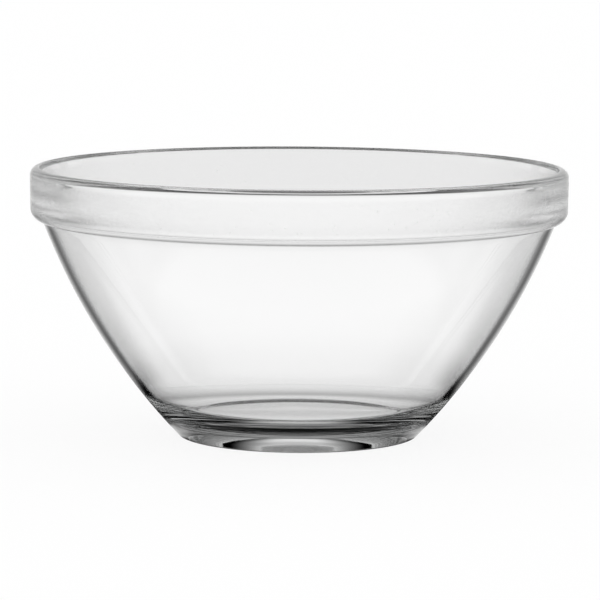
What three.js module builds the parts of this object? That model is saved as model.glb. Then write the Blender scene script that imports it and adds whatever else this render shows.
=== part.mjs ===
// Stackable glass bowl, pressed in one piece and fire polished at the lip.
// Millimetres, +Z up. The bowl is turned about Z and stands with its bearing ring on z = 0.
// Profile points are (radius, height) pairs, and profile angles run from +radius towards +height.
import * as THREE from 'three';

const degrees = THREE.MathUtils.degToRad;
const quarterTurn = degrees(90);

// Outside
const height = 115.6;
const bandRadius = 115;
const bandDraft = 0.23;
const bandSide = 17.64;
const bandCornerRadius = 4.95;
const footRadius = 50.08;
const heelRadius = 2.2;
const wallLeanAtFoot = degrees(43.55);

// Lip: two roundings with a narrow flat between them
const lipOuterRadius = 3.25;
const lipFlat = 0.4;
const lipInnerRadius = 0.5;

// Inside
const wallThickness = 4.1;
const floorThickness = 10;
const floorFilletRadius = 27;

// Underside
const bearingRingWidth = 5;
const recessDepth = 0.7;
const recessSlope = 1;

// Facets
const turnSteps = 80;
const glassColour = 0xededed;

const point = (radius, z) => new THREE.Vector2(radius, z);
const angleFrom = (centre, target) => Math.atan2(target.y - centre.y, target.x - centre.x);

// Points on an arc from one angle to another, both ends included
function arc({ centre, radius }, from, to, steps) {
  return Array.from({ length: steps + 1 }, (_, i) => {
    const angle = THREE.MathUtils.lerp(from, to, i / steps);
    return point(centre.x + radius * Math.cos(angle), centre.y + radius * Math.sin(angle));
  });
}

// The circle that touches a line at start, with its centre towards inward, and passes through end
function circleThrough(start, inward, end) {
  const chord = end.clone().sub(start);
  const radius = chord.lengthSq() / (2 * chord.dot(inward));
  return { centre: start.clone().addScaledVector(inward, radius), radius };
}

// The circle that touches a line at start, with its centre towards inward, and touches other from outside
function circleTouching(start, inward, other) {
  const offset = start.clone().sub(other.centre);
  const radius = (other.radius ** 2 - offset.lengthSq()) / (2 * (inward.dot(offset) - other.radius));
  return { centre: start.clone().addScaledVector(inward, radius), radius };
}

// Stacking band: its side narrows a little downwards, and a quarter round ends it in the crease under it
const draftAngle = Math.atan2(bandDraft, bandSide - lipOuterRadius);
const bandCorner = {
  centre: point(
    bandRadius - bandDraft - bandCornerRadius * Math.cos(draftAngle),
    height - bandSide + bandCornerRadius * Math.sin(draftAngle),
  ),
  radius: bandCornerRadius,
};
const bandUnderside = arc(bandCorner, -quarterTurn, -draftAngle, 7);
const crease = bandUnderside[0];

// Lip
const lipOuter = {
  centre: point(bandRadius - lipOuterRadius, height - lipOuterRadius),
  radius: lipOuterRadius,
};
const lipInner = {
  centre: point(lipOuter.centre.x - lipFlat, height - lipInnerRadius),
  radius: lipInnerRadius,
};

// Heel: rounds from the bearing ring up to the lean of the wall
const heel = { centre: point(footRadius, heelRadius), radius: heelRadius };
const heelArc = arc(heel, -quarterTurn, -wallLeanAtFoot, 3);
const heelTop = heelArc.at(-1);

// Outer wall: one arc that leaves the heel smoothly and ends at the crease
const wallInward = point(-Math.cos(wallLeanAtFoot), Math.sin(wallLeanAtFoot));
const outerWall = circleThrough(heelTop, wallInward, crease);

// Inner wall: the same arc set in by the wall's thickness, measured level
const innerWall = {
  centre: outerWall.centre.clone().sub(point(wallThickness, 0)),
  radius: outerWall.radius,
};
const innerWallTop = crease.clone().sub(point(wallThickness, 0));

// Inside of the band: carries the inner wall up and turns it into the lip
const collarInward = innerWall.centre.clone().sub(innerWallTop).normalize();
const collar = circleTouching(innerWallTop, collarInward, lipInner);
const collarTopAngle = angleFrom(collar.centre, lipInner.centre);
const collarFootAngle = angleFrom(collar.centre, innerWallTop);

// Fillet between the inner wall and the floor
const filletHeight = floorThickness + floorFilletRadius;
const filletReach = innerWall.radius - floorFilletRadius;
const filletDrop = filletHeight - innerWall.centre.y;
const fillet = {
  centre: point(innerWall.centre.x + Math.sqrt(filletReach ** 2 - filletDrop ** 2), filletHeight),
  radius: floorFilletRadius,
};
const filletTopAngle = angleFrom(innerWall.centre, fillet.centre);

// Underside: a shallow flat recess inside the bearing ring
const ringInnerRadius = footRadius - bearingRingWidth;

const profile = [
  point(0, recessDepth),
  point(ringInnerRadius - recessSlope, recessDepth),
  point(ringInnerRadius, 0),
  ...heelArc,
  ...arc(outerWall, angleFrom(outerWall.centre, heelTop), angleFrom(outerWall.centre, crease), 10).slice(1, -1),
  ...bandUnderside,
  ...arc(lipOuter, -draftAngle, quarterTurn, 5),
  ...arc(lipInner, quarterTurn, collarTopAngle + Math.PI, 3),
  ...arc(collar, collarTopAngle, collarFootAngle, 5).slice(1),
  ...arc(innerWall, angleFrom(innerWall.centre, innerWallTop), filletTopAngle, 9).slice(1),
  ...arc(fillet, filletTopAngle, -quarterTurn, 6).slice(1),
  point(0, floorThickness),
];

const bowlGeometry = new THREE.LatheGeometry(profile, turnSteps);
bowlGeometry.rotateX(quarterTurn);

const glass = new THREE.MeshStandardMaterial({
  name: 'glass',
  color: glassColour,
  roughness: 0.02,
  metalness: 0,
  transparent: true,
  opacity: 0.35,
});

const bowl = new THREE.Mesh(bowlGeometry, glass);
bowl.name = 'bowl';

const stackableBowl = new THREE.Group();
stackableBowl.name = 'stackable_bowl';
stackableBowl.add(bowl);

export default stackableBowl;
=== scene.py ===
"""A stackable glass bowl in a plain white studio.

The bowl is one pressing of clear glass. A pen draws its section in the X-Z plane, line by line and arc by
arc, and the section is spun about Z. To the camera the studio is plain white. The glass shows more of it:
light panels in a ring with dark flags between them, the dark edge of a table behind the bowl, and the floor
round the foot, which the glass sees as a glow with painted shade under the bowl and painted light beside
and behind the foot.
"""

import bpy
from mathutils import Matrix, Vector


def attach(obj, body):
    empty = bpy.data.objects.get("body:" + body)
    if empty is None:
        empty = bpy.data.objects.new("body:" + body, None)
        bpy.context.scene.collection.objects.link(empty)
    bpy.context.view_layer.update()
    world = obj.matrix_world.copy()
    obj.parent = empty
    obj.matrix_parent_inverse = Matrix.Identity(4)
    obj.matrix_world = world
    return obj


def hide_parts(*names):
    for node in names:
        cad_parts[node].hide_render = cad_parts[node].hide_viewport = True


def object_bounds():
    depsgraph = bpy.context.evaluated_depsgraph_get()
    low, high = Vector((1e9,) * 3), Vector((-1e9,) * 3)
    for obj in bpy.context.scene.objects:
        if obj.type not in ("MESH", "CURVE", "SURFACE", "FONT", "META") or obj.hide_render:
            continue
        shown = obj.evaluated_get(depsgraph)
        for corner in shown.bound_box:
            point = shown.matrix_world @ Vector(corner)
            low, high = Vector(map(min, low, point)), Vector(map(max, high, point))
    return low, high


bl_info = {
    "name": "Stackable glass bowl",
    "version": (1, 0, 0),
    "blender": (4, 5, 0),
    "location": "View3D > Sidebar > Bowl",
    "description": "Builds a stackable bowl of pressed glass and a white studio round it",
    "category": "Add Mesh",
}

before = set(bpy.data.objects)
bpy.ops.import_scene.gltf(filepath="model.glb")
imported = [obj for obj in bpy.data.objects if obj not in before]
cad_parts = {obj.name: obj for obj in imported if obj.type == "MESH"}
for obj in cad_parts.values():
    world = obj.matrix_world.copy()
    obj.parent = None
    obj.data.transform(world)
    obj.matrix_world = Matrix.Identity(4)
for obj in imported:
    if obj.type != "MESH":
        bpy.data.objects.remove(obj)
CAD_LOW, CAD_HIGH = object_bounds()

import math

import bmesh
import bpy
from bpy.props import FloatProperty, FloatVectorProperty, IntProperty, PointerProperty
from mathutils import Vector

MM = 0.001
QUARTER = math.pi / 2
WHITE = (1.0, 1.0, 1.0, 1.0)


# Properties

def length(name, description, millimetres):
    """A length property, given in millimetres and held in metres."""
    return FloatProperty(
        name=name, description=description, default=millimetres * MM, min=0.0, precision=5,
        subtype="DISTANCE", unit="LENGTH",
    )


def turn(name, description, degrees):
    """An angle property, given in degrees and held in radians."""
    return FloatProperty(
        name=name, description=description, default=math.radians(degrees), subtype="ANGLE", unit="ROTATION",
    )


def share(name, description, default):
    """A plain number from nothing to a little over one."""
    return FloatProperty(
        name=name, description=description, default=default, min=0.0, soft_max=1.0, precision=3,
    )


class BowlSizes(bpy.types.PropertyGroup):
    """The section's driving dimensions"""

    height: length("Height", "From the table to the crest of the lip", CAD_HIGH.z / MM)
    band_radius: length("Band radius", "Outside radius at the lip, where the bowl is widest", CAD_HIGH.x / MM)
    band_draft: length("Band draft", "How much smaller the band's radius is at its foot", 0.23)
    band_side: length("Band side", "From the crest of the lip down to the end of the straight side", 17.64)
    band_corner: length("Band corner", "Radius of the quarter round under the band", 4.95)
    crease: length("Crease", "Reach of the soft corners at the crease and the recess", 0.35)
    lip_outer: length("Lip outside", "Radius on the outside of the lip", 3.25)
    lip_flat: length("Lip flat", "Width of the flat on the crest", 0.4)
    lip_inner: length("Lip inside", "Radius on the inside of the lip", 0.5)
    wall: length("Wall", "Thickness of the wall, measured level", 4.1)
    wall_lean: turn("Wall lean", "Lean of the outer wall from upright, at the foot", 43.55)
    foot_radius: length("Foot radius", "Outside radius of the flat bearing ring", 50.08)
    heel: length("Heel", "Radius between bearing ring and wall", 2.2)
    floor: length("Floor", "Height of the inner floor above the table", 10.0)
    floor_fillet: length("Floor fillet", "Radius between floor and inner wall", 27.0)
    ring_width: length("Ring width", "Width of the bearing ring", 5.0)
    recess: length("Recess", "How far the underside stands clear of the table", 0.7)
    recess_slope: length("Recess slope", "Width of the slope at the ring's inner edge", 1.0)
    stipple: length("Stipple", "Height of the points pressed into the bearing ring", 0.12)
    turns: IntProperty(name="Turns", description="Steps round the bowl", default=320, min=32, max=720)


class GlassLook(bpy.types.PropertyGroup):
    """The finish of the glass"""

    tint: FloatVectorProperty(
        name="Tint", description="Colour that light takes on inside the glass", subtype="COLOR",
        size=3, min=0.0, max=1.0, default=(0.90, 0.91, 0.905),
    )
    density: FloatProperty(
        name="Density", description="Strength of the tint, per metre", default=2.5, min=0.0,
    )
    index: FloatProperty(
        name="Index", description="Index of refraction of soda-lime glass", default=1.52, min=1.0,
    )
    polish: share("Polish", "Roughness of the fire-polished faces", 0.004)
    chill: share("Chill", "Roughness of the band, which the mould's ring chills", 0.38)
    frost: share("Frost", "Roughness of the stippled bearing ring", 0.18)
    wave_size: length("Wave size", "Distance between the soft waves that pressing leaves", 38.0)
    wave_depth: length("Wave depth", "Height of those waves", 0.05)


class StudioLook(bpy.types.PropertyGroup):
    """The light round the bowl, the floor and the camera"""

    panels: IntProperty(name="Panels", description="Light panels in the ring", default=8, min=2, max=24)
    panel_half: turn("Panel half width", "From the middle of a light panel to its edge", 9.0)
    front_light: share("Front light", "Brightness of the room behind the camera, in the glass", 0.50)
    side_light: share("Side light", "Brightness of the floor on both sides, in the lip", 0.90)
    overhead_light: share("Overhead light", "Brightness of the ceiling to light that turns often", 0.30)
    long_path_light: share("Long path light", "Brightness of light that turns very often in the glass", 1.00)
    soft_light: share("Soft light", "Brightness of the light on the floor", 1.05)
    floor_size: FloatProperty(
        name="Floor size", description="Side of the white floor", default=12.0,
        subtype="DISTANCE", unit="LENGTH",
    )
    floor_grey: share("Floor grey", "Reflectance of the white floor", 0.95)
    distance: FloatProperty(
        name="Distance", description="From the camera to the point it looks at", default=1.4907,
        subtype="DISTANCE", unit="LENGTH",
    )
    aim: length("Aim", "Height of the point that the camera looks at", 58.165)
    elevation: turn("Elevation", "Height of the camera above the horizon", 6.97)
    roll: turn("Roll", "Tilt of the camera about its own axis", 0.38)
    shift: share("Shift", "Sideways shift of the picture, in picture widths", 0.00237)
    lens: FloatProperty(name="Lens", description="Focal length, in millimetres", default=208.2, min=1.0)
    sensor: FloatProperty(name="Sensor", description="Sensor width, in millimetres", default=36.0, min=1.0)


# Section

# Length of the short piece held at each end of a straight face
FLAT_HOLD = 0.3 * MM

# Steps of each stretch of the section
RECESS_STEPS = 6
RING_STEPS = 5
HEEL_STEPS = 10
OUTER_WALL_STEPS = 40
CREASE_STEPS = 8
CORNER_STEPS = 22
LIP_OUTER_STEPS = 22
LIP_INNER_STEPS = 10
COLLAR_STEPS = 14
INNER_WALL_STEPS = 36
FILLET_STEPS = 28


def circle_through(start, inward, end):
    """Centre and radius of the circle that leaves start square to inward and passes through end."""
    chord = end - start
    radius = chord.length_squared / (2 * chord.dot(inward))
    return start + inward * radius, radius


def centre_touching(start, inward, other, other_radius):
    """Centre of the circle that leaves start square to inward and touches another from outside."""
    offset = start - other
    radius = (other_radius ** 2 - offset.length_squared) / (2 * (inward.dot(offset) - other_radius))
    return start + inward * radius


def bearing(centre, target):
    """Angle of target seen from centre, from +X towards +Z."""
    return math.atan2(target.y - centre.y, target.x - centre.x)


def polar(centre, radius, angle):
    """The point at that radius and angle from centre."""
    return centre + radius * Vector((math.cos(angle), math.sin(angle)))


class Pen:
    """Draws a section in the X-Z plane, where a point is (radius, height)."""

    def __init__(self, bm, start):
        self.bm = bm
        self.tip = bm.verts.new((start.x, 0.0, start.y))

    @property
    def at(self):
        """Where the tip stands."""
        return Vector((self.tip.co.x, self.tip.co.z))

    def line(self, end):
        """Draws a straight line to end."""
        self.tip = bmesh.ops.extrude_vert_indiv(self.bm, verts=[self.tip])["verts"][0]
        self.tip.co = (end.x, 0.0, end.y)

    def flat(self, end):
        """A line with a short piece held at each end, so that smooth shading leaves its middle flat."""
        start = self.at
        held = (end - start).normalized() * FLAT_HOLD
        for stop in (start + held, end - held, end):
            self.line(stop)

    def arc(self, centre, end_angle, steps):
        """Sweeps the tip about centre until it stands at end_angle."""
        spun = bmesh.ops.spin(
            self.bm, geom=[self.tip], cent=(centre.x, 0.0, centre.y), axis=(0.0, -1.0, 0.0),
            angle=end_angle - bearing(centre, self.at), steps=steps,
        )
        self.tip = next(part for part in spun["geom_last"] if isinstance(part, bmesh.types.BMVert))

    def soft_corner(self, corner, end, steps):
        """Leaves the tip towards corner and arrives at end from there."""
        start = self.at
        for step in range(1, steps + 1):
            along = step / steps
            self.line(start.lerp(corner, along).lerp(corner.lerp(end, along), along))


class Section:
    """The bowl's section: the centres of its rounds, and the pen's way along them."""

    def __init__(self, size):
        self.size = size
        self.draft = math.atan2(size.band_draft, size.band_side - size.lip_outer)
        side_foot = Vector((size.band_radius - size.band_draft, size.height - size.band_side))
        self.corner = polar(side_foot, size.band_corner, math.pi - self.draft)
        self.crease = polar(self.corner, size.band_corner, -QUARTER)
        self.lip_outer = Vector((size.band_radius - size.lip_outer, size.height - size.lip_outer))
        self.lip_inner = Vector((self.lip_outer.x - size.lip_flat, size.height - size.lip_inner))

        self.heel = Vector((size.foot_radius, size.heel))
        heel_top = polar(self.heel, size.heel, -size.wall_lean)
        wall_inward = Vector((-math.cos(size.wall_lean), math.sin(size.wall_lean)))
        self.outer_wall, self.wall_radius = circle_through(heel_top, wall_inward, self.crease)

        self.inner_wall = self.outer_wall - Vector((size.wall, 0.0))
        self.inner_top = self.crease - Vector((size.wall, 0.0))
        collar_inward = (self.inner_wall - self.inner_top).normalized()
        self.collar = centre_touching(self.inner_top, collar_inward, self.lip_inner, size.lip_inner)

        fillet_height = size.floor + size.floor_fillet
        fillet_reach = self.wall_radius - size.floor_fillet
        fillet_offset = math.sqrt(fillet_reach ** 2 - (fillet_height - self.inner_wall.y) ** 2)
        self.fillet = Vector((self.inner_wall.x + fillet_offset, fillet_height))

    def draw(self, bm):
        """Draws the section from the underside's centre round to the floor's."""
        pen = Pen(bm, Vector((0.0, self.size.recess)))
        self.draw_underside(pen)
        self.draw_outside(pen)
        self.draw_inside(pen)

    def draw_underside(self, pen):
        """The recess, its slope, and the bearing ring in steps that the stipple needs."""
        size = self.size
        ring_inner = size.foot_radius - size.ring_width
        recess_edge = Vector((ring_inner - size.recess_slope, size.recess))
        ring_edge = Vector((ring_inner, size.stipple))
        ring_end = Vector((size.foot_radius, size.stipple))
        level = Vector((size.crease, 0.0))
        slope = (ring_edge - recess_edge).normalized() * size.crease

        pen.flat(recess_edge - level)
        pen.soft_corner(recess_edge, recess_edge + slope, RECESS_STEPS)
        pen.line(ring_edge - slope)
        pen.soft_corner(ring_edge, ring_edge + level, RECESS_STEPS)
        ring_start = pen.at
        for step in range(1, RING_STEPS + 1):
            pen.line(ring_start.lerp(ring_end, step / RING_STEPS))
        pen.line(Vector((size.foot_radius, 0.0)))

    def draw_outside(self, pen):
        """The heel, the wall, the crease, the stacking band and the outside of the lip."""
        size = self.size
        wall_end = bearing(self.outer_wall, self.crease) - size.crease / self.wall_radius
        corner_start = polar(self.corner, size.band_corner, size.crease / size.band_corner - QUARTER)

        pen.arc(self.heel, -size.wall_lean, HEEL_STEPS)
        pen.arc(self.outer_wall, wall_end, OUTER_WALL_STEPS)
        pen.soft_corner(self.crease, corner_start, CREASE_STEPS)
        pen.arc(self.corner, -self.draft, CORNER_STEPS)
        pen.flat(polar(self.lip_outer, size.lip_outer, -self.draft))
        pen.arc(self.lip_outer, QUARTER, LIP_OUTER_STEPS)

    def draw_inside(self, pen):
        """The crest, the inside of the lip, band and wall, and the floor."""
        size = self.size
        pen.line(self.lip_inner + Vector((0.0, size.lip_inner)))
        pen.arc(self.lip_inner, bearing(self.collar, self.lip_inner) + math.pi, LIP_INNER_STEPS)
        pen.arc(self.collar, bearing(self.collar, self.inner_top), COLLAR_STEPS)
        pen.arc(self.inner_wall, bearing(self.inner_wall, self.fillet), INNER_WALL_STEPS)
        pen.arc(self.fillet, -QUARTER, FILLET_STEPS)
        pen.flat(Vector((0.0, size.floor)))


# Nodes

def blank_tree(block):
    """Gives a material or a world an empty node tree."""
    block.use_nodes = True
    block.node_tree.nodes.clear()
    return block.node_tree


def add_node(tree, kind, **settings):
    """A new node with its settings."""
    node = tree.nodes.new(kind)
    for name, value in settings.items():
        setattr(node, name, value)
    return node


def plug(tree, value, socket):
    """Links a socket or sets a plain value."""
    if isinstance(value, bpy.types.NodeSocket):
        tree.links.new(value, socket)
    else:
        socket.default_value = value


def calc(tree, operation, *values):
    """A Math node's result."""
    node = add_node(tree, "ShaderNodeMath", operation=operation)
    for value, socket in zip(values, node.inputs):
        plug(tree, value, socket)
    return node.outputs[0]


def product(tree, first, *others):
    """All the values multiplied."""
    for other in others:
        first = calc(tree, "MULTIPLY", first, other)
    return first


def greatest(tree, first, *others):
    """The greatest of the values."""
    for other in others:
        first = calc(tree, "MAXIMUM", first, other)
    return first


def fewer(tree, count, limit):
    """One where a whole number is below limit, and nothing from there on."""
    return calc(tree, "LESS_THAN", count, limit - 0.5)


def blend(tree, factor, low, high):
    """low where factor is 0 and high where it is 1."""
    node = add_node(tree, "ShaderNodeMix", data_type="FLOAT")
    for value, name in ((factor, "Factor"), (low, "A"), (high, "B")):
        plug(tree, value, node.inputs[name])
    return node.outputs["Result"]


def fade(tree, value, start, end):
    """Nothing on the start side of a soft step and one on the end side."""
    node = add_node(tree, "ShaderNodeMapRange", interpolation_type="SMOOTHSTEP")
    for setting, name in ((value, "Value"), (start, "From Min"), (end, "From Max")):
        plug(tree, setting, node.inputs[name])
    return node.outputs["Result"]


def ramp(tree, value, span, levels):
    """Brightness by value, from (value, brightness) levels within span, a (least, most) pair."""
    least, most = span
    reach = most - least
    node = add_node(tree, "ShaderNodeValToRGB")
    elements = node.color_ramp.elements
    while len(elements) < len(levels):
        elements.new(0.5)
    for element, (place, grey) in zip(elements, levels):
        element.position = (place - least) / reach
        element.color = (grey, grey, grey, 1.0)
    plug(tree, calc(tree, "MULTIPLY_ADD", value, 1 / reach, -least / reach), node.inputs["Fac"])
    return node.outputs["Color"]


def axis(tree, vector, name):
    """One part of a vector, by its name X, Y or Z."""
    node = add_node(tree, "ShaderNodeSeparateXYZ")
    tree.links.new(vector, node.inputs[0])
    return node.outputs[name]


def join(tree, factor, first, second):
    """A Mix Shader's result: first where factor is 0 and second where it is 1."""
    node = add_node(tree, "ShaderNodeMixShader")
    plug(tree, factor, node.inputs["Fac"])
    tree.links.new(first.outputs[0], node.inputs[1])
    tree.links.new(second.outputs[0], node.inputs[2])
    return node


# Glass

GRAIN_SCALE = 900.0
SHADOW_TINT = (0.97, 0.97, 0.97, 1.0)

# The frost reaches this many times the stipple's height
FROST_REACH = 1.5

# The band's chilled finish fades in between two heights above its foot, and out within a height under the lip
CHILL_FADE_IN = (2 * MM, 4.5 * MM)
CHILL_FADE_OUT = 2 * MM


def glass_roughness(tree, place, look, size):
    """A fine grain: faint on polished faces, stronger on the band and on the bearing ring."""
    height = axis(tree, place, "Z")
    on_ring = calc(tree, "LESS_THAN", height, size.stipple * FROST_REACH)
    band_foot = size.height - size.band_side - size.band_corner
    band_top = size.height - size.lip_outer
    above_foot = fade(tree, height, *(band_foot + rise for rise in CHILL_FADE_IN))
    below_lip = fade(tree, height, band_top, band_top - CHILL_FADE_OUT)
    on_band = product(tree, above_foot, below_lip)
    strength = blend(tree, on_ring, blend(tree, on_band, look.polish, look.chill), look.frost)

    grain = add_node(tree, "ShaderNodeTexNoise")
    grain.inputs["Scale"].default_value = GRAIN_SCALE
    tree.links.new(place, grain.inputs["Vector"])
    return product(tree, grain.outputs["Fac"], strength)


def glass_waves(tree, place, look):
    """The normal of a surface with the soft waves that pressing leaves."""
    waves = add_node(tree, "ShaderNodeTexNoise")
    waves.inputs["Scale"].default_value = 1.0 / look.wave_size
    waves.inputs["Detail"].default_value = 1.0
    tree.links.new(place, waves.inputs["Vector"])
    bump = add_node(tree, "ShaderNodeBump")
    bump.inputs["Strength"].default_value = 1.0
    bump.inputs["Distance"].default_value = look.wave_depth
    tree.links.new(waves.outputs["Fac"], bump.inputs["Height"])
    return bump.outputs["Normal"]


def glass_material(look, size):
    """Clear pressed glass, tinted in its depth, that lets light through to the floor."""
    material = bpy.data.materials.new("pressed_glass")
    tree = blank_tree(material)
    output = add_node(tree, "ShaderNodeOutputMaterial")
    place = add_node(tree, "ShaderNodeTexCoord").outputs["Object"]

    glass = add_node(tree, "ShaderNodeBsdfPrincipled")
    glass.inputs["Base Color"].default_value = WHITE
    glass.inputs["IOR"].default_value = look.index
    glass.inputs["Transmission Weight"].default_value = 1.0
    tree.links.new(glass_roughness(tree, place, look, size), glass.inputs["Roughness"])
    tree.links.new(glass_waves(tree, place, look), glass.inputs["Normal"])

    path = add_node(tree, "ShaderNodeLightPath").outputs
    clear = add_node(tree, "ShaderNodeBsdfTransparent")
    clear.inputs["Color"].default_value = SHADOW_TINT
    lit_through = greatest(tree, path["Is Shadow Ray"], path["Is Diffuse Ray"])
    surface = join(tree, lit_through, glass, clear)
    tree.links.new(surface.outputs[0], output.inputs["Surface"])

    depth = add_node(tree, "ShaderNodeVolumeAbsorption")
    depth.inputs["Color"].default_value = (*look.tint, 1.0)
    depth.inputs["Density"].default_value = look.density
    tree.links.new(depth.outputs["Volume"], output.inputs["Volume"])
    return material


# Floor, which the glass sees near the bowl as a glow with painted light and shade. Here and in the studio a
# pair holds the start and the end of a fade, a turn is a reflection in or on the glass, and a crossing is a
# way into or out of it.

CROSSINGS_OF_BOTH_WALLS = 4

# The floor is drawn within these radii to straight light, light turned in the glass and light turned on it.
# There turned light sees it painted dark, as shade under the bowl, save for the painted light beside and
# behind the foot.
DRAWN_STRAIGHT = (97 * MM, 93 * MM)
DRAWN_TURNED = (120 * MM, 90 * MM)
DRAWN_REFLECTED = (190 * MM, 80 * MM)

# Brightness to straight light: through one wall, and through both by radius, with painted shade rings round
# the foot and a painted contact shadow where the glass is close, darkest under the recess
ONE_WALL_FLOOR = 0.88
FOOT_SPAN = (0.0, 100 * MM)
# Painted shade by radius round the foot, dipping most at 67 mm
PAINTED_SHADE_UNDER_FOOT = (
    (0.0, 0.85), (53 * MM, 0.80), (60 * MM, 0.84), (67 * MM, 0.52), (76 * MM, 0.76), (86 * MM, 0.90),
)
# Painted contact shadow: the gap over which it fades, the ring's edge, and its depth under the recess and on
# the ring
CLOSE_GAP = (1.2 * MM, 2.0 * MM)
RING_RADIUS = (43 * MM, 46 * MM)
RECESS_SHADE = 0.15
RING_SHADE = 0.80

# Painted light on the floor beside the foot, to light turned on the glass, within a depth and a radius,
# where the wall stands clear of the floor
BESIDE_DEPTH = (-36 * MM, -20 * MM)
BESIDE_RADIUS = (60 * MM, 56 * MM)
BESIDE_GAP = (2 * MM, 6 * MM)
BESIDE_LIGHT = 0.80

# Painted light on the floor behind the foot, to light turned in the glass about so many times, within a depth
# and a radius
BEHIND_DEPTH = (40 * MM, 50 * MM)
BEHIND_RADIUS = (100 * MM, 80 * MM)
BEHIND_TURNS = 5.5
BEHIND_TURNS_EITHER_WAY = 1.8
BEHIND_LIGHT = 0.35


def painted_floor_light_and_shade(tree, path, place, radius):
    """Painted light and shade of the floor as the glass shows it: painted shade under the bowl, and painted
    light beside and behind the foot.
    """
    gap, turns, crossings = path["Ray Length"], path["Glossy Depth"], path["Transmission Depth"]
    depth = axis(tree, place, "Y")

    # Painted contact shadow where the glass nearly touches the floor
    close_shade = blend(tree, fade(tree, radius, *RING_RADIUS), RECESS_SHADE, RING_SHADE)
    shade = blend(tree, fade(tree, gap, *CLOSE_GAP), close_shade, 1.0)
    painted_shade_under_foot = product(tree, ramp(tree, radius, FOOT_SPAN, PAINTED_SHADE_UNDER_FOOT), shade)
    one_wall = fewer(tree, crossings, CROSSINGS_OF_BOTH_WALLS)
    straight = blend(tree, one_wall, painted_shade_under_foot, ONE_WALL_FLOOR)

    some_turns = calc(tree, "COMPARE", turns, BEHIND_TURNS, BEHIND_TURNS_EITHER_WAY)
    # Painted light behind the foot, in light turned in the glass
    behind = product(
        tree, fade(tree, depth, *BEHIND_DEPTH), fade(tree, radius, *BEHIND_RADIUS), some_turns, BEHIND_LIGHT,
    )
    # Painted light beside the foot, in reflections on the glass
    beside = product(
        tree, fade(tree, depth, *BESIDE_DEPTH), fade(tree, radius, *BESIDE_RADIUS),
        fade(tree, gap, *BESIDE_GAP), BESIDE_LIGHT,
    )
    # Elsewhere near the foot turned light sees the floor painted dark, as shade under the bowl
    outside = fewer(tree, crossings, 1)
    unturned = fewer(tree, turns, 1)
    return blend(tree, unturned, blend(tree, outside, behind, beside), straight)


def floor_material(look):
    """A matt white floor to the camera. Near the bowl the glass sees a glow in its place, with painted light
    and shade, and farther out the studio.
    """
    material = bpy.data.materials.new("white_floor")
    tree = blank_tree(material)
    output = add_node(tree, "ShaderNodeOutputMaterial")
    path = add_node(tree, "ShaderNodeLightPath").outputs
    place = add_node(tree, "ShaderNodeTexCoord").outputs["Object"]
    reach = add_node(tree, "ShaderNodeVectorMath", operation="LENGTH")
    tree.links.new(place, reach.inputs[0])
    radius = reach.outputs["Value"]

    matt = add_node(tree, "ShaderNodeBsdfDiffuse")
    matt.inputs["Color"].default_value = (look.floor_grey, look.floor_grey, look.floor_grey, 1.0)
    # A glow that the glass sees in place of the lit floor, carrying its painted light and shade
    painted_floor_glow = add_node(tree, "ShaderNodeEmission")
    tree.links.new(painted_floor_light_and_shade(tree, path, place, radius), painted_floor_glow.inputs["Strength"])
    beyond = add_node(tree, "ShaderNodeBsdfTransparent")

    outside = fewer(tree, path["Transmission Depth"], 1)
    unturned = fewer(tree, path["Glossy Depth"], 1)
    near_turned = blend(
        tree, outside, fade(tree, radius, *DRAWN_TURNED), fade(tree, radius, *DRAWN_REFLECTED),
    )
    near = blend(tree, unturned, near_turned, fade(tree, radius, *DRAWN_STRAIGHT))
    by_glass = greatest(tree, path["Is Glossy Ray"], path["Is Transmission Ray"])
    surface = join(tree, by_glass, matt, join(tree, near, beyond, painted_floor_glow))
    tree.links.new(surface.outputs[0], output.inputs["Surface"])
    return material


# Studio. Directions are in degrees: elevation above the horizon, swing to either side from straight behind
# the bowl, and aside from the middle of the nearest light panel.

ELEVATION_SPAN = (-90, 90)

# Brightness by elevation to straight light through both walls, on a panel and in the soft gap between two
PANEL_LIGHT = (
    (-90, 0.90), (-55, 0.88), (-46, 0.62), (-24, 0.80), (-19, 0.95), (-7, 1.03), (-3, 0.80), (3, 0.72),
    (12, 0.78), (20, 0.62), (30, 0.45), (45, 0.35), (90, 0.50),
)
GAP_LIGHT = (
    (-90, 0.90), (-55, 0.88), (-46, 0.62), (-24, 0.80), (-19, 0.97), (-15, 0.90), (-11, 0.62), (-7, 0.50),
    (-3, 0.52), (3, 0.60), (12, 0.60), (20, 0.45), (30, 0.35), (45, 0.30), (90, 0.50),
)
GAP_SOFTNESS = 5.0

# The same through one wall, in every direction
EVEN_LIGHT = ((-90, 0.90), (-40, 0.86), (5, 0.85), (12, 0.84), (20, 0.64), (30, 0.42), (90, 0.50))

# The same to turned light, on a panel and on the dark flag between two
TURNED_LIGHT = (
    (-90, 0.90), (-45, 0.85), (-30, 0.70), (-19, 0.90), (-9, 1.00), (0, 0.90), (6, 0.62), (12, 0.60),
    (18, 0.88), (25, 0.92), (32, 0.50), (45, 0.14), (90, 0.10),
)
FLAG_LIGHT = (
    (-90, 0.90), (-45, 0.85), (-26, 0.60), (-21, 0.12), (-11, 0.12), (-6, 0.60), (10, 0.50), (20, 0.35),
    (32, 0.20), (45, 0.10), (90, 0.10),
)
FLAG_ASIDE = (2.0, 25.0)

# Share of the turned light that shows, by the number of turns
TURNS_SPAN = (0, 16)
SHOWN_BY_TURNS = ((1, 1.00), (2, 0.32), (3, 0.25), (4, 0.95), (5, 0.85), (6, 0.30), (7, 0.30), (8, 0.0))

# Light of four turns or more sees only the panel that stands straight behind
FEW_TURNS = 4
BEHIND_SWING = (24.0, 5.0)

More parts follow.
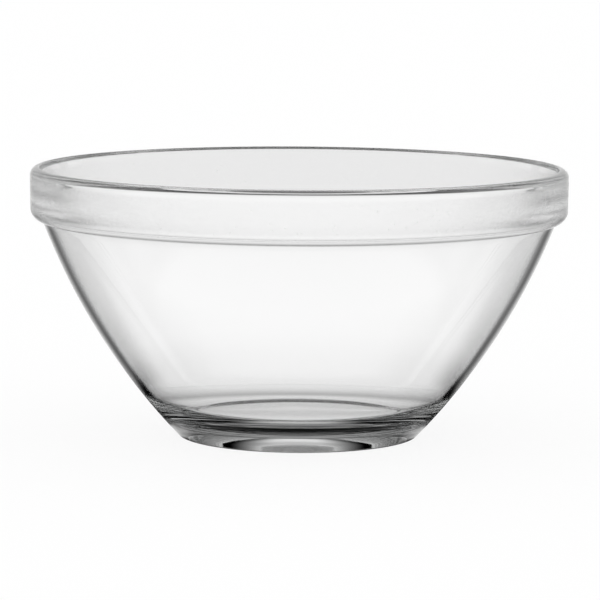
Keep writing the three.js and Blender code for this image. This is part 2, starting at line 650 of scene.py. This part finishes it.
# Dark edge of the table behind the bowl. To light that turns twice or more it is wider and has no foot.
TABLE_TOP = (-26.5, -19.5)
TABLE_FOOT = (-42.0, -52.0)
TABLE_SWING = (28.0, 38.0)
TURNED_TABLE_SWING = (42.0, 52.0)

# Room behind the camera and floor on both sides, to light of few turns, and ceiling and room to light of many
FRONT_SWING = (70.0, 100.0)
SIDE_SWING = (46.0, 56.0)
SIDE_ELEVATION = (-36.0, -45.0)
OVERHEAD_ELEVATION = (48.0, 58.0)
OVERHEAD_TURNS = 8
LONG_PATH_TURNS = (20.0, 40.0)


def by_elevation(tree, elevation, levels):
    """The studio's brightness, from (elevation, brightness) levels."""
    return ramp(tree, elevation, ELEVATION_SPAN, levels)


def straight_light(tree, look, crossings, elevation, swing, aside):
    """Straight through both walls: panels, gaps and the table's edge. Through one wall: even light."""
    panel_half = math.degrees(look.panel_half)
    in_gap = fade(tree, aside, panel_half - GAP_SOFTNESS, panel_half + GAP_SOFTNESS)
    ring = blend(
        tree, in_gap, by_elevation(tree, elevation, PANEL_LIGHT), by_elevation(tree, elevation, GAP_LIGHT),
    )
    past_table = greatest(
        tree, fade(tree, swing, *TABLE_SWING),
        fade(tree, elevation, *TABLE_TOP), fade(tree, elevation, *TABLE_FOOT),
    )
    one_wall = fewer(tree, crossings, CROSSINGS_OF_BOTH_WALLS)
    return blend(tree, one_wall, product(tree, ring, past_table), by_elevation(tree, elevation, EVEN_LIGHT))


def turned_light(tree, look, turns, elevation, swing, aside):
    """Turned by the glass: panels and flags, the table's edge, and the room, floor and ceiling round them."""
    few_turns = fewer(tree, turns, FEW_TURNS)
    light = blend(
        tree, fade(tree, aside, *FLAG_ASIDE),
        by_elevation(tree, elevation, TURNED_LIGHT), by_elevation(tree, elevation, FLAG_LIGHT),
    )
    reached = greatest(tree, few_turns, fade(tree, swing, *BEHIND_SWING))
    light = product(tree, light, ramp(tree, turns, TURNS_SPAN, SHOWN_BY_TURNS), reached)
    light = blend(tree, fade(tree, swing, *FRONT_SWING), light, product(tree, few_turns, look.front_light))
    turned_once = fewer(tree, turns, 2)
    past_table = greatest(
        tree, turned_once, fade(tree, elevation, *TABLE_TOP), fade(tree, swing, *TURNED_TABLE_SWING),
    )
    light = product(tree, light, past_table)

    side_floor = product(
        tree, fade(tree, swing, *SIDE_SWING), fade(tree, elevation, *SIDE_ELEVATION),
        few_turns, look.side_light,
    )
    often = calc(tree, "GREATER_THAN", turns, OVERHEAD_TURNS - 0.5)
    overhead = product(tree, fade(tree, elevation, *OVERHEAD_ELEVATION), often, look.overhead_light)
    long_path = product(tree, fade(tree, turns, *LONG_PATH_TURNS), look.long_path_light)
    return greatest(tree, light, side_floor, overhead, long_path)


def studio_world(look):
    """White to the camera, soft light to the floor, and the studio's panels and dark places to the glass."""
    world = bpy.data.worlds.new("studio")
    tree = blank_tree(world)
    output = add_node(tree, "ShaderNodeOutputWorld")
    path = add_node(tree, "ShaderNodeLightPath").outputs
    turns, crossings = path["Glossy Depth"], path["Transmission Depth"]
    direction = add_node(tree, "ShaderNodeTexCoord").outputs["Generated"]
    x, y, z = (axis(tree, direction, name) for name in "XYZ")
    elevation = calc(tree, "DEGREES", calc(tree, "ARCSINE", z))
    azimuth = calc(tree, "DEGREES", calc(tree, "ARCTAN2", x, y))
    swing = calc(tree, "ABSOLUTE", azimuth)
    aside = calc(tree, "PINGPONG", azimuth, 180.0 / look.panels)

    in_glass = blend(
        tree, fewer(tree, turns, 1),
        turned_light(tree, look, turns, elevation, swing, aside),
        straight_light(tree, look, crossings, elevation, swing, aside),
    )
    by_glass = greatest(tree, path["Is Glossy Ray"], path["Is Transmission Ray"])
    seen = blend(tree, by_glass, look.soft_light, in_glass)
    sky = add_node(tree, "ShaderNodeBackground")
    sky.inputs["Color"].default_value = WHITE
    tree.links.new(blend(tree, path["Is Camera Ray"], seen, 1.0), sky.inputs["Strength"])
    tree.links.new(sky.outputs["Background"], output.inputs["Surface"])
    return world


# Operators

# Points closer than this are one, and faces this level and this near to the ring's height are part of it
MERGE_REACH = 0.0005 * MM
RING_LEVEL = 0.99
RING_HEIGHT_ERROR = 0.001 * MM

# How often light may turn in the glass, and how many clear faces it may pass
LIGHT_TURNS = 96
CLEAR_FACES = 32


def new_piece(name, bm, material):
    """Puts a finished bmesh in the scene as an object at the origin."""
    mesh = bpy.data.meshes.new(name)
    bm.to_mesh(mesh)
    bm.free()
    mesh.materials.append(material)
    piece = bpy.data.objects.new(name, mesh)
    bpy.context.scene.collection.objects.link(piece)
    return piece


class STACKBOWL_OT_bowl(bpy.types.Operator):
    """Make the glass bowl"""

    bl_idname = "stackbowl.bowl"
    bl_label = "Bowl"

    def execute(self, context):
        size = context.scene.bowl_sizes
        bm = bmesh.new()
        Section(size).draw(bm)
        bmesh.ops.spin(
            bm, geom=bm.verts[:] + bm.edges[:], cent=(0.0, 0.0, 0.0), axis=(0.0, 0.0, 1.0),
            angle=2 * math.pi, steps=size.turns, use_merge=True,
        )
        bmesh.ops.remove_doubles(bm, verts=bm.verts[:], dist=MERGE_REACH)
        self.press_stipple(bm, size)
        bmesh.ops.recalc_face_normals(bm, faces=bm.faces[:])
        for face in bm.faces:
            face.smooth = True
        bowl = new_piece("pressed_bowl", bm, glass_material(context.scene.glass_look, size))
        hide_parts("bowl")
        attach(bowl, "root")
        return {"FINISHED"}

    def press_stipple(self, bm, size):
        """Raises each small face of the bearing ring to a point that stands on the table."""
        ring = [
            face for face in bm.faces
            if abs(face.normal.z) > RING_LEVEL
            and abs(face.calc_center_median().z - size.stipple) < RING_HEIGHT_ERROR
        ]
        if not ring:
            raise RuntimeError("the bearing ring has no faces to stipple")
        for point in bmesh.ops.poke(bm, faces=ring)["verts"]:
            point.co.z = 0.0


class STACKBOWL_OT_studio(bpy.types.Operator):
    """Make the floor, the light and the camera"""

    bl_idname = "stackbowl.studio"
    bl_label = "Studio"

    def execute(self, context):
        scene = context.scene
        look = scene.studio_look
        scene.world = studio_world(look)
        self.floor(look)
        self.camera(scene, look)
        scene.view_settings.view_transform = "Standard"
        scene.cycles.max_bounces = LIGHT_TURNS
        scene.cycles.glossy_bounces = LIGHT_TURNS
        scene.cycles.transmission_bounces = LIGHT_TURNS
        scene.cycles.transparent_max_bounces = CLEAR_FACES
        return {"FINISHED"}

    def floor(self, look):
        """Lays the floor under the bowl."""
        bm = bmesh.new()
        bmesh.ops.create_grid(bm, x_segments=1, y_segments=1, size=look.floor_size / 2)
        floor = new_piece("floor", bm, floor_material(look))

    def camera(self, scene, look):
        """Sets the camera in front of the bowl, a little above it."""
        data = bpy.data.cameras.new("camera")
        data.lens = look.lens
        data.sensor_width = look.sensor
        data.shift_x = look.shift
        camera = bpy.data.objects.new("camera", data)
        back = Vector((0.0, -math.cos(look.elevation), math.sin(look.elevation)))
        camera.location = Vector((0.0, 0.0, look.aim)) + back * look.distance
        camera.rotation_euler = (-back).to_track_quat("-Z", "Y").to_matrix().to_euler()
        camera.rotation_euler.rotate_axis("Z", look.roll)
        scene.collection.objects.link(camera)
        scene.camera = camera


class STACKBOWL_PT_panel(bpy.types.Panel):
    """Sizes, finish and light, with a button for the bowl and one for the studio"""

    bl_idname = "STACKBOWL_PT_panel"
    bl_label = "Stackable bowl"
    bl_space_type = "VIEW_3D"
    bl_region_type = "UI"
    bl_category = "Bowl"

    def draw(self, context):
        scene = context.scene
        for group, operator in (
            (scene.bowl_sizes, STACKBOWL_OT_bowl),
            (scene.glass_look, None),
            (scene.studio_look, STACKBOWL_OT_studio),
        ):
            column = self.layout.column()
            for name in group.bl_rna.properties.keys():
                if name not in {"rna_type", "name"}:
                    column.prop(group, name)
            if operator:
                column.operator(operator.bl_idname)


CLASSES = (
    BowlSizes,
    GlassLook,
    StudioLook,
    STACKBOWL_OT_bowl,
    STACKBOWL_OT_studio,
    STACKBOWL_PT_panel,
)


def register():
    for cls in CLASSES:
        bpy.utils.register_class(cls)
    bpy.types.Scene.bowl_sizes = PointerProperty(type=BowlSizes)
    bpy.types.Scene.glass_look = PointerProperty(type=GlassLook)
    bpy.types.Scene.studio_look = PointerProperty(type=StudioLook)


def unregister():
    del bpy.types.Scene.studio_look
    del bpy.types.Scene.glass_look
    del bpy.types.Scene.bowl_sizes
    for cls in reversed(CLASSES):
        bpy.utils.unregister_class(cls)


def main():
    register()
    bpy.ops.stackbowl.bowl()
    bpy.ops.stackbowl.studio()


if __name__ == "__main__":
    main()
